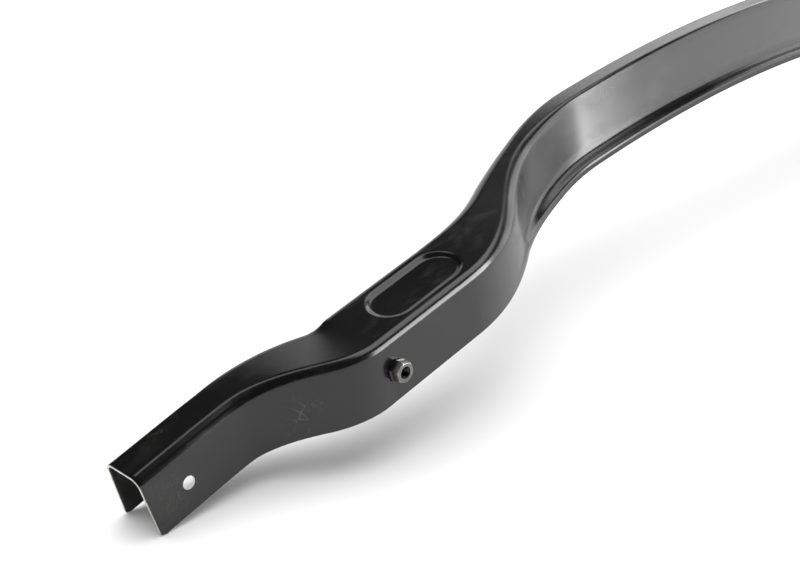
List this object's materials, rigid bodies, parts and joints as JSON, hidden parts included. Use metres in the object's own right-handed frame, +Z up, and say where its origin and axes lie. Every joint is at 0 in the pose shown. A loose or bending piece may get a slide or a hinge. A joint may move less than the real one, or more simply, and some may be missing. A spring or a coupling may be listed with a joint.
{
  "type": "pressed steel sway bar brace",
  "caption": "Arched pressed steel channel bar, open underneath, with sideways jogs, oval seat recesses, end bolt holes and hex weld nuts on one wall.",
  "frame": {"origin": "centre of the bar's box in X and Y, at the level its two ends stand on", "axes": "+X along the bar from the left end to the right end, +Y across it to the side away from the weld nuts, +Z up out of the web"},
  "size_m": [1.43, 0.1328, 0.1745],
  "materials": {
    "painted_steel": "semi-gloss black electrocoat",
    "painted_nut": "semi-gloss black electrocoat, worn at the edges"
  },
  "bodies": {
    "root": {"channel": "painted_steel", "weld_nut_left": "painted_nut", "weld_nut_right": "painted_nut"}
  },
  "joints": []
}
